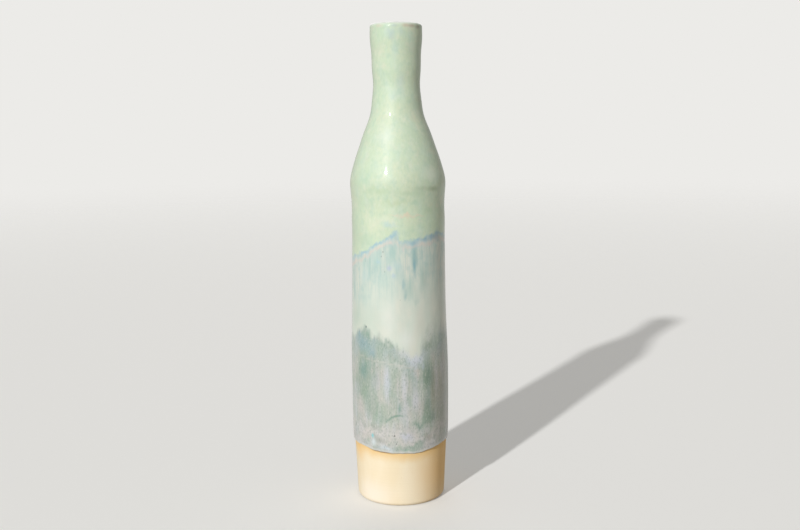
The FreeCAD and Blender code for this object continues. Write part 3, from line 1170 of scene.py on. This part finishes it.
    def wire(self, wiring: Wiring, given: Wires) -> Wires:
        """Lay the three glazes over each other, melt their edges and draw the lines between them.

        Args:
            wiring: Where its nodes go.
            given: Its inputs by name.

        Returns:
            The colour, the roughness and the height of the relief.
        """
        place = given["Position"]
        drawn = wiring.move("MULTIPLY", place, self.drawn_down)
        inputs = {"Vector": drawn, "Scale": self.warp_scale, "Detail": self.warp_detail}
        warp = wiring.place("ShaderNodeTexNoise", inputs, noise_dimensions="3D").outputs["Color"]
        shift = wiring.move("MULTIPLY", wiring.move("SUBTRACT", warp, (0.5, 0.5, 0.5)), self.warp_reach)
        waver = wiring.height(shift)
        above_blue = wiring.sum("MULTIPLY_ADD", waver, self.blue_wavers, given["Above blue"])
        above_hill = wiring.sum("MULTIPLY_ADD", waver, self.hill_wavers, given["Above hill"])
        ground = Ground(wiring, place, self.wall)
        ragged = Ground(wiring, wiring.move("ADD", place, shift), self.wall)

        colour = self.lower(ground, ragged, given["Above hill"], given["Above edge"])
        reach = wiring.sum("MULTIPLY_ADD", self.mist.mask(ground), self.mist_melts, self.hill_melts)
        melted = wiring.fade(above_hill, wiring.sum("MULTIPLY", reach, self.melts_down), reach)
        colour = wiring.blend(melted, colour, self.middle(ground, ragged, given["Above blue"]))
        colour = self.broken_line(ground, above_blue, colour)
        covered = wiring.fade(above_blue, *self.celadon_covers)
        colour = wiring.blend(covered, colour, self.upper(ground, ragged))
        dabs = wiring.sum("MULTIPLY_ADD", self.blue_dabs.mask(ground), *self.blue_shares)
        colour = wiring.blend(self.blue_band.mask(wiring, above_blue, dabs), colour, self.blue)

        colour = ground.spotted(colour, CLEAR_MARKS_AND_DENT_SHADE)
        pitted = wiring.fade(given["Above blue"], *self.pits_end)
        pits = wiring.sum("MULTIPLY", self.pits.mask(ground), pitted)
        colour = wiring.blend(wiring.sum("MULTIPLY", pits, self.pit_share), colour, self.pinhole)

        swell = self.swell.mask(ground)
        relief = wiring.sum("SUBTRACT", swell, wiring.sum("MULTIPLY", pits, self.pit_depth))
        risen = wiring.fade(above_blue, *self.celadon_rises, 0.0, self.celadon_height)
        rough = wiring.sum("MULTIPLY_ADD", swell, *self.swell_roughness)
        return {"Color": colour, "Roughness": rough, "Height": wiring.sum("ADD", relief, risen)}


@dataclass(frozen=True)
class Finish(ABC):
    """A finish: one material with its own numbers."""

    name: str

    def material(self) -> bpy.types.Material:
        """Make the material.

        Returns:
            The material, wired.
        """
        material = bpy.data.materials.new(self.name)
        material.use_nodes = True
        self.wire(Wiring(material.node_tree), material.node_tree.nodes["Principled BSDF"])
        return material

    @abstractmethod
    def wire(self, wiring: Wiring, shader: bpy.types.Node) -> None:
        """Feed the material's shader.

        Args:
            wiring: Where the nodes go.
            shader: The shader.
        """

    def dress(self, piece: bpy.types.Object) -> None:
        """Give the finish to a piece."""
        piece.data.materials.clear()
        piece.data.materials.append(self.material())


@dataclass(frozen=True)
class OuterGlaze(Finish):
    """A glossy outer glaze that melts into its neighbours."""

    effect: RunningGlaze
    coat: float = 0.6
    coat_roughness: float = 0.06
    under_gloss: float = 0.4
    relief: float = 0.12 * MM

    def wire(self, wiring: Wiring, shader: bpy.types.Node) -> None:
        """Feed the colours, the gloss and a slight relief of the glaze.

        Args:
            wiring: Where the nodes go.
            shader: The shader.
        """
        above = {f"Above {line.name}": wiring.attribute(f"above_{line.name}") for line in FLOW_LINES}
        glaze = wiring.effect(self.effect, Position=wiring.position(), **above)
        inputs = {"Height": glaze["Height"], "Distance": self.relief, "Strength": 1.0}
        bump = wiring.place("ShaderNodeBump", inputs)
        fed = {
            "Base Color": glaze["Color"],
            "Roughness": glaze["Roughness"],
            "Normal": bump.outputs["Normal"],
            "Specular IOR Level": self.under_gloss,
            "Coat Weight": self.coat,
            "Coat Roughness": self.coat_roughness,
        }
        wiring.feed(shader, fed)


@dataclass(frozen=True)
class Liner(Finish):
    """The plain celadon that was poured inside."""

    colour: Colour = paint(206, 222, 200)
    pooled: Colour = paint(170, 200, 176)
    clouds: Clouds = Clouds(8, 22, seed=14.0)
    cloud_share: float = 0.4
    pool: Point = (60 * MM, 8 * MM)
    pool_share: float = 0.6
    roughness: float = 0.3

    def wire(self, wiring: Wiring, shader: bpy.types.Node) -> None:
        """Feed a softly clouded colour that deepens towards the floor, where the glaze pooled.

        Args:
            wiring: Where the nodes go.
            shader: The shader.
        """
        ground = Ground(wiring, wiring.position())
        pooled = wiring.fade(wiring.height(ground.place), *self.pool, 0.0, self.pool_share)
        deep = wiring.sum("MULTIPLY_ADD", self.clouds.mask(ground), self.cloud_share, pooled)
        colour = wiring.blend(deep, self.colour, self.pooled)
        wiring.feed(shader, {"Base Color": colour, "Roughness": self.roughness})


@dataclass(frozen=True)
class BareClay(Finish):
    """Fired stoneware, cream and matte, flashed orange along the glaze's edge, with a painted shadow under
    the glaze's bead and an orange patch on its right side that is partly flashing and partly painted warm
    bounce light.
    """

    cream: Colour = paint(240, 226, 198)
    warm: Colour = paint(234, 215, 178)
    flashed: Colour = paint(232, 198, 140)
    speck: Colour = paint(206, 174, 126)
    marks_and_painted_bounce: tuple[Spot, ...] = (
        # The first mark, orange on the right side, is partly flashing and partly painted warm bounce light.
        Spot(68, 22, 64, 84, paint(246, 198, 124), 0.75, 0.9),
        Spot(-38, 6, 44, 30, paint(244, 236, 224), 0.6),
        Spot(-64, 33, 22, 22, paint(238, 196, 128), 0.6),
    )
    # Painted shadow: a thin dark brown line on the clay just under the glaze's rolled bead, at the left
    # front.
    painted_bead_shadow: Spot = Spot(-24, 37, 26, 20, paint(118, 84, 52), 0.75, 0.8)
    painted_bead_shadow_band: Band = Band(-0.2, 0.8)
    wall: Wall = field(default_factory=Wall)
    clouds: Clouds = Clouds(10, 26, seed=15.0)
    cloud_share: float = 0.45
    waver: Clouds = Clouds(6, 9, 0.2, 0.8, seed=16.0)
    waver_reach: float = 2.0 * MM
    flash_fade: Point = (-7.0 * MM, 1.0 * MM)
    flash_share: float = 0.95
    specks: Pits = Pits(3.2, 0.45, 0.12)
    speck_share: float = 0.5
    grain: Clouds = Clouds(0.5, 0.5, 0.2, 0.8, seed=17.0)
    grain_height: float = 0.35
    turning: Clouds = Clouds(90, 0.9, 0.2, 0.8, seed=18.0)
    turning_height: float = 0.6
    roughness: float = 0.72
    grain_roughness: float = 0.1
    relief: float = 0.12 * MM
    relief_strength: float = 0.8

    def wire(self, wiring: Wiring, shader: bpy.types.Node) -> None:
        """Feed the clay's clouds, flashing, painted warm bounce, painted shadow under the glaze's bead,
        specks, grain and turning marks.

        Args:
            wiring: Where the nodes go.
            shader: The shader.
        """
        ground = Ground(wiring, wiring.position(), self.wall)
        above = wiring.attribute("above_edge")
        clouds = wiring.sum("MULTIPLY", self.clouds.mask(ground), self.cloud_share)
        colour = wiring.blend(clouds, self.cream, self.warm)
        reach = wiring.sum("MULTIPLY_ADD", self.waver.mask(ground), self.waver_reach, above)
        near = wiring.fade(reach, *self.flash_fade, 0.0, self.flash_share)
        # Flashing, marks, and a painted warm bounce on the right side
        colour = ground.spotted(wiring.blend(near, colour, self.flashed), self.marks_and_painted_bounce)
        # Painted shadow along the clay just under the glaze's bead
        painted_bead_shadow = self.painted_bead_shadow_band.mask(wiring, above, self.painted_bead_shadow.mask(ground))
        colour = wiring.blend(painted_bead_shadow, colour, self.painted_bead_shadow.colour)
        specks = wiring.sum("MULTIPLY", self.specks.mask(ground), self.speck_share)
        colour = wiring.blend(specks, colour, self.speck)
        grain = self.grain.mask(ground)
        turning = wiring.sum("MULTIPLY", self.turning.mask(ground), self.turning_height)
        height = wiring.sum("MULTIPLY_ADD", grain, self.grain_height, turning)
        inputs = {"Height": height, "Distance": self.relief, "Strength": self.relief_strength}
        bump = wiring.place("ShaderNodeBump", inputs)
        rough = wiring.sum("MULTIPLY_ADD", grain, self.grain_roughness, self.roughness)
        wiring.feed(shader, {"Base Color": colour, "Roughness": rough, "Normal": bump.outputs["Normal"]})


@dataclass
class Form:
    """A smooth turned surface that the coats' rows are laid back on after they have run."""

    name: str
    low: float
    high: float
    step: float = 2.0 * MM
    surface: bpy.types.Object = field(init=False)

    def build(self, radius_at: Callable[[float], float]) -> None:
        """Turn the surface between its low and high ends, from the axis out and back to it.

        Args:
            radius_at: Gives its radius at a height.
        """
        heights = heights_between(self.low, self.high, self.step)
        skin = [(radius_at(height), height) for height in heights]
        self.surface = turn(self.name, [(0.0, self.low), *skin, (0.0, self.high)], closed=False)

    def seat(self, piece: bpy.types.Object, group: str) -> None:
        """Lay a group of a piece's points on the surface."""
        bake_modifier(piece, "SHRINKWRAP", target=self.surface, vertex_group=group)

    def remove(self) -> None:
        """Take the surface away."""
        bpy.data.objects.remove(self.surface)


@dataclass
class Coat:
    """An outer coat of glaze: a closed shell on the clay between two edges."""

    name: str
    wall: Wall
    skin_step: float = 1.4 * MM
    seat_step: float = 4.0 * MM

    def skin(self, low: float, high: float) -> list[Point]:
        """Points up the outer glaze."""
        return [(self.wall.glazed(z), z) for z in heights_between(low, high, self.skin_step)]

    def seat(self, high: float, low: float) -> list[Point]:
        """Points down the clay's outside."""
        return [(self.wall.outside(z), z) for z in heights_between(high, low, self.seat_step)]

    def group_layers(self, piece: bpy.types.Object, below: float) -> None:
        """Tell the points on the clay from those on the outer skin, up to a height.

        Args:
            piece: The coat, before it runs.
            below: Only points under this height are laid back on the forms.
        """
        places, _ = places_of(piece)
        depth = self.wall.glazed(places[:, 2]) - np.hypot(places[:, 0], places[:, 1])
        low = places[:, 2] < below
        for name, layer in (("skin", depth < self.wall.coat / 4), ("seat", depth > self.wall.coat * 3 / 4)):
            piece.vertex_groups.new(name=name).add(np.nonzero(layer & low)[0].tolist(), 1.0, "REPLACE")


@dataclass
class Vase:
    """The whole vase: its clay, its three outer coats and its liner."""

    wall: Wall = field(default_factory=Wall)
    touch: HandsTouch = field(default_factory=HandsTouch)
    clay_step: float = 2.5 * MM
    lip_points: int = 15
    heel_points: int = 8
    corner_points: int = 8
    bead_points: int = 7
    still_low: float = 58.0 * MM
    still_high: float = 194.0 * MM
    forms_low: float = 34.0 * MM
    forms_high: float = 200.0 * MM

    def clay_profile(self) -> list[Point]:
        """Draw the clay's half profile: foot ring, bare band, wall, round lip and hollow.

        Returns:
            The points, from the middle of the recess outwards and up, and down inside.
        """
        wall = self.wall
        edge = wall.foot_radius - wall.foot_edge
        ring = edge - wall.foot_ring
        lip_round = wall.neck_wall / 2
        lip = (wall.lip.radius - lip_round, wall.lip.height)
        foot = [(0.0, wall.recess_depth), (ring - wall.foot_bevel, wall.recess_depth), (ring, 0.0)]
        heel = arc_points((edge, wall.foot_edge), wall.foot_edge, -90, 0, self.heel_points)[1:]
        heights = heights_between(wall.foot_edge, wall.lip.height, self.clay_step)[1:-1]
        outside = [(wall.outside(z), z) for z in heights]
        rim = arc_points(lip, lip_round, 0, 180, self.lip_points)
        return [*foot, (edge, 0.0), *heel, *outside, *rim, *self.hollow(0.0, wall.lip.height)[1:]]

    def hollow(self, cover: float, high: float) -> list[Point]:
        """Half profile of the inside, from a height down to the middle of the floor.

        Args:
            cover: How thick a glaze lies on the clay.
            high: Where it starts.

        Returns:
            The points, from the top down.
        """
        wall = self.wall
        floor = wall.recess_depth + wall.base_thickness
        corner = wall.foot_radius - wall.wall - wall.inner_corner
        bend = floor + wall.inner_corner
        side = [(wall.inside(z) - cover, z) for z in heights_between(high, bend, self.clay_step)[:-1]]
        turn_in = arc_points((corner, bend), wall.inner_corner - cover, 0, -90, self.corner_points)
        side = [(min(radius, side[-1][0]) if z < 2 * bend else radius, z) for radius, z in side]
        return [*side, *turn_in, (0.0, floor + cover)]

    def build_clay(self) -> bpy.types.Object:
        """Turn the clay."""
        return turn("thrown_clay", self.clay_profile(), closed=False)

    def build_liner(self) -> bpy.types.Object:
        """Turn the liner, a shell on the inside of the clay up to where the lip's glaze begins.

        Returns:
            The liner.
        """
        top = self.wall.lip.height - self.wall.mouth_turn
        outer, inner = self.hollow(0.0, top), self.hollow(self.wall.coat, top)
        return turn("poured_liner", [*reversed(outer), *inner], closed=False)

    def build_grey(self) -> bpy.types.Object:
        """Turn the lower coat, with its rolled lower edge, and let it run.

        Returns:
            The coat.
        """
        wall, coat = self.wall, Coat("grey_run_coat", self.wall)
        low = wall.band.height
        bead = (wall.band.radius, low + wall.edge_bead)
        rolled = arc_points(bead, wall.edge_bead, -90, 0, self.bead_points)[:-1]
        skin = coat.skin(low + wall.edge_bead, HILL_LINE.base)
        profile = [*rolled, *skin, *coat.seat(HILL_LINE.base, low)[:-1]]
        piece = turn(coat.name, profile, closed=True)
        coat.group_layers(piece, self.forms_high)
        let_run(piece, {GLAZE_EDGE: (self.still_low, low), HILL_LINE: (self.still_low, HILL_LINE.base)})
        return piece

    def build_pale(self) -> bpy.types.Object:
        """Turn the middle coat and let both its edges run.

        Returns:
            The coat.
        """
        coat = Coat("pale_streaked_coat", self.wall)
        low, high = HILL_LINE.base, BLUE_LINE.base
        piece = turn(coat.name, [*coat.skin(low, high), *coat.seat(high, low)], closed=True)
        coat.group_layers(piece, self.forms_high)
        let_run(piece, {HILL_LINE: (high, low), BLUE_LINE: (low, high)})
        return piece

    def build_celadon(self) -> bpy.types.Object:
        """Turn the upper coat, over the lip and down inside the mouth, and let its lower edge run.

        Returns:
            The coat.
        """
        wall, coat = self.wall, Coat("celadon_coat", self.wall)
        low, top = BLUE_LINE.base, wall.lip.height
        end = top - wall.mouth_turn
        lip_round = wall.neck_wall / 2
        lip = (wall.lip.radius - lip_round, top)
        outer_lip = arc_points(lip, lip_round + wall.coat, 0, 180, self.lip_points)
        inner_lip = arc_points(lip, lip_round, 180, 0, self.lip_points)
        mouth = heights_between(top, end, coat.skin_step)[1:]
        mouth_skin = [(wall.inside(z) - wall.coat, z) for z in mouth]
        mouth_seat = [(wall.inside(z), z) for z in reversed(mouth)]
        profile = [*coat.skin(low, top)[:-1], *outer_lip, *mouth_skin, *mouth_seat, *inner_lip]
        piece = turn(coat.name, [*profile, *coat.seat(top, low)[1:]], closed=True)
        coat.group_layers(piece, self.still_high)
        let_run(piece, {BLUE_LINE: (self.still_high, low)})
        return piece

    def build(self) -> None:
        """Build every piece, seat the coats, press them all alike, dress them and hand them to the frame."""
        forms = {"skin": Form("outer_form", self.forms_low, self.forms_high)}
        forms["skin"].build(self.wall.glazed)
        forms["seat"] = Form("clay_form", self.forms_low, self.forms_high)
        forms["seat"].build(self.wall.outside)
        self.touch.build()
        effect = RunningGlaze(self.wall)
        pieces = (
            ("clay_body", "stoneware", self.build_clay(), BareClay("bare stoneware")),
            ("grey_glaze", "grey_glaze", self.build_grey(), OuterGlaze("grey running glaze", effect)),
            ("pale_glaze", "pale_glaze", self.build_pale(), OuterGlaze("pale streaked glaze", effect)),
            ("celadon_glaze", "celadon_glaze", self.build_celadon(), OuterGlaze("celadon glaze", effect)),
            ("liner_glaze", "liner_glaze", self.build_liner(), Liner("poured liner glaze")),
        )
        for node, slot, piece, finish in pieces:
            for group, form in forms.items():
                if group in piece.vertex_groups:
                    form.seat(piece, group)
            self.touch.shape(piece)
            piece.vertex_groups.clear()
            mark_flow_lines(piece)
            finish.dress(piece)
            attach(piece, "root")
            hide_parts(node)
            LOG.info("%s: %d faces", piece.name, len(piece.data.polygons))
        for helper in (*forms.values(), self.touch):
            helper.remove()


@dataclass(frozen=True)
class Lamp:
    """A distant lamp: its strength, and in degrees how wide it looks and where it hangs from the front."""

    name: str
    strength: float
    softness: float
    azimuth: float
    elevation: float

    def hang(self) -> None:
        """Hang it, so that it shines on the vase."""
        lamp = bpy.data.lights.new(self.name, "SUN")
        lamp.energy = self.strength
        lamp.angle = math.radians(self.softness)
        hung = bpy.data.objects.new(self.name, lamp)
        bpy.context.scene.collection.objects.link(hung)
        azimuth, elevation = math.radians(self.azimuth), math.radians(self.elevation)
        flat = math.cos(elevation)
        towards = Vector((flat * math.sin(azimuth), -flat * math.cos(azimuth), math.sin(elevation)))
        hung.rotation_euler = towards.to_track_quat("Z", "Y").to_euler()


@dataclass
class Studio:
    """A plain pale floor, soft light and the camera that the photograph was taken with."""

    lens: float = 44.55
    distance: float = 623.0 * MM
    camera_height: float = 245.5 * MM
    pitch: float = math.radians(8.7)
    roll: float = math.radians(0.68)
    sensor_width: float = 36.0
    focal_pixels: float = 990.0
    pixels_off_centre: float = 1.3
    floor_size: float = 12.0
    fill_strength: float = 0.33
    gloss_strength: float = 0.55
    key: Lamp = Lamp("key_lamp", 2.9, 2.0, -31, 26)
    back: Lamp = Lamp("back_lamp", 0.5, 48, 178, 32)
    floor_colour: Colour = paint(226, 225, 222)
    floor_bounce: Colour = paint(184, 178, 166)
    floor_roughness: float = 0.9
    floor_glow: float = 0.18
    floor_fade: Point = (0.5, 3.2)
    sky_colour: Colour = paint(236, 235, 232)

    def build_floor(self) -> None:
        """Lay the floor."""
        bpy.ops.object.select_all(action="DESELECT")
        bpy.ops.mesh.primitive_plane_add(size=self.floor_size)
        floor = bpy.context.object
        floor.name = "studio_floor"
        material = bpy.data.materials.new("studio floor")
        material.use_nodes = True
        wiring = Wiring(material.node_tree)
        shader = material.node_tree.nodes["Principled BSDF"]
        seen = wiring.sum("MAXIMUM", *self.rays(wiring))
        near = wiring.fade(wiring.move("LENGTH", wiring.position()), *self.floor_fade, 1.0, 0.0)
        under = wiring.place("ShaderNodeNewGeometry").outputs["Backfacing"]
        fed = {
            "Base Color": wiring.blend(seen, self.floor_bounce, self.floor_colour),
            "Roughness": self.floor_roughness,
            "Emission Color": self.floor_colour,
            "Emission Strength": wiring.sum("MULTIPLY", seen, self.floor_glow),
            "Alpha": wiring.sum("MULTIPLY", near, wiring.sum("SUBTRACT", 1.0, under)),
        }
        wiring.feed(shader, fed)
        floor.data.materials.append(material)

    def rays(self, wiring: Wiring) -> tuple[Wire, Wire]:
        """Tell the rays that show the studio from those that light the vase.

        Args:
            wiring: Where the nodes go.

        Returns:
            1 for the rays that show it in the picture, and 1 for those that show it in the glaze's gloss.
        """
        rays = wiring.place("ShaderNodeLightPath").outputs
        mirrored = wiring.sum("MAXIMUM", rays["Is Glossy Ray"], rays["Is Transmission Ray"])
        return rays["Is Camera Ray"], mirrored

    def build_light(self) -> None:
        """Hang the key lamp to the front left and a wide one behind, with an even fill from all round."""
        self.key.hang()
        self.back.hang()
        world = bpy.data.worlds.new("studio")
        world.use_nodes = True
        bpy.context.scene.world = world
        wiring = Wiring(world.node_tree)
        pictured, reflected = self.rays(wiring)
        strength = wiring.choose(reflected, self.fill_strength, self.gloss_strength)
        strength = wiring.choose(pictured, strength, 1.0)
        wiring.feed(world.node_tree.nodes["Background"], {"Color": self.sky_colour, "Strength": strength})

    def build_camera(self) -> None:
        """Stand the camera where the photograph was taken from."""
        data = bpy.data.cameras.new("camera")
        data.lens = self.lens
        data.sensor_width = self.sensor_width
        camera = bpy.data.objects.new("camera", data)
        bpy.context.scene.collection.objects.link(camera)
        camera.location = (0, -self.distance, self.camera_height)
        aside = self.pixels_off_centre / self.focal_pixels
        forward = Vector((aside, math.cos(self.pitch), -math.sin(self.pitch)))
        camera.rotation_euler = forward.to_track_quat("-Z", "Y").to_euler()
        camera.rotation_euler.rotate_axis("Z", -self.roll)
        bpy.context.scene.camera = camera

    def build(self) -> None:
        """Set the stage."""
        self.build_floor()
        self.build_light()
        self.build_camera()
        bpy.context.scene.view_settings.view_transform = "Standard"


def main() -> None:
    """Build the vase and its studio."""
    logging.basicConfig(level=logging.INFO, format="%(message)s")
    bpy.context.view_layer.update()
    Vase().build()
    Studio().build()


if __name__ == "__main__":
    main()
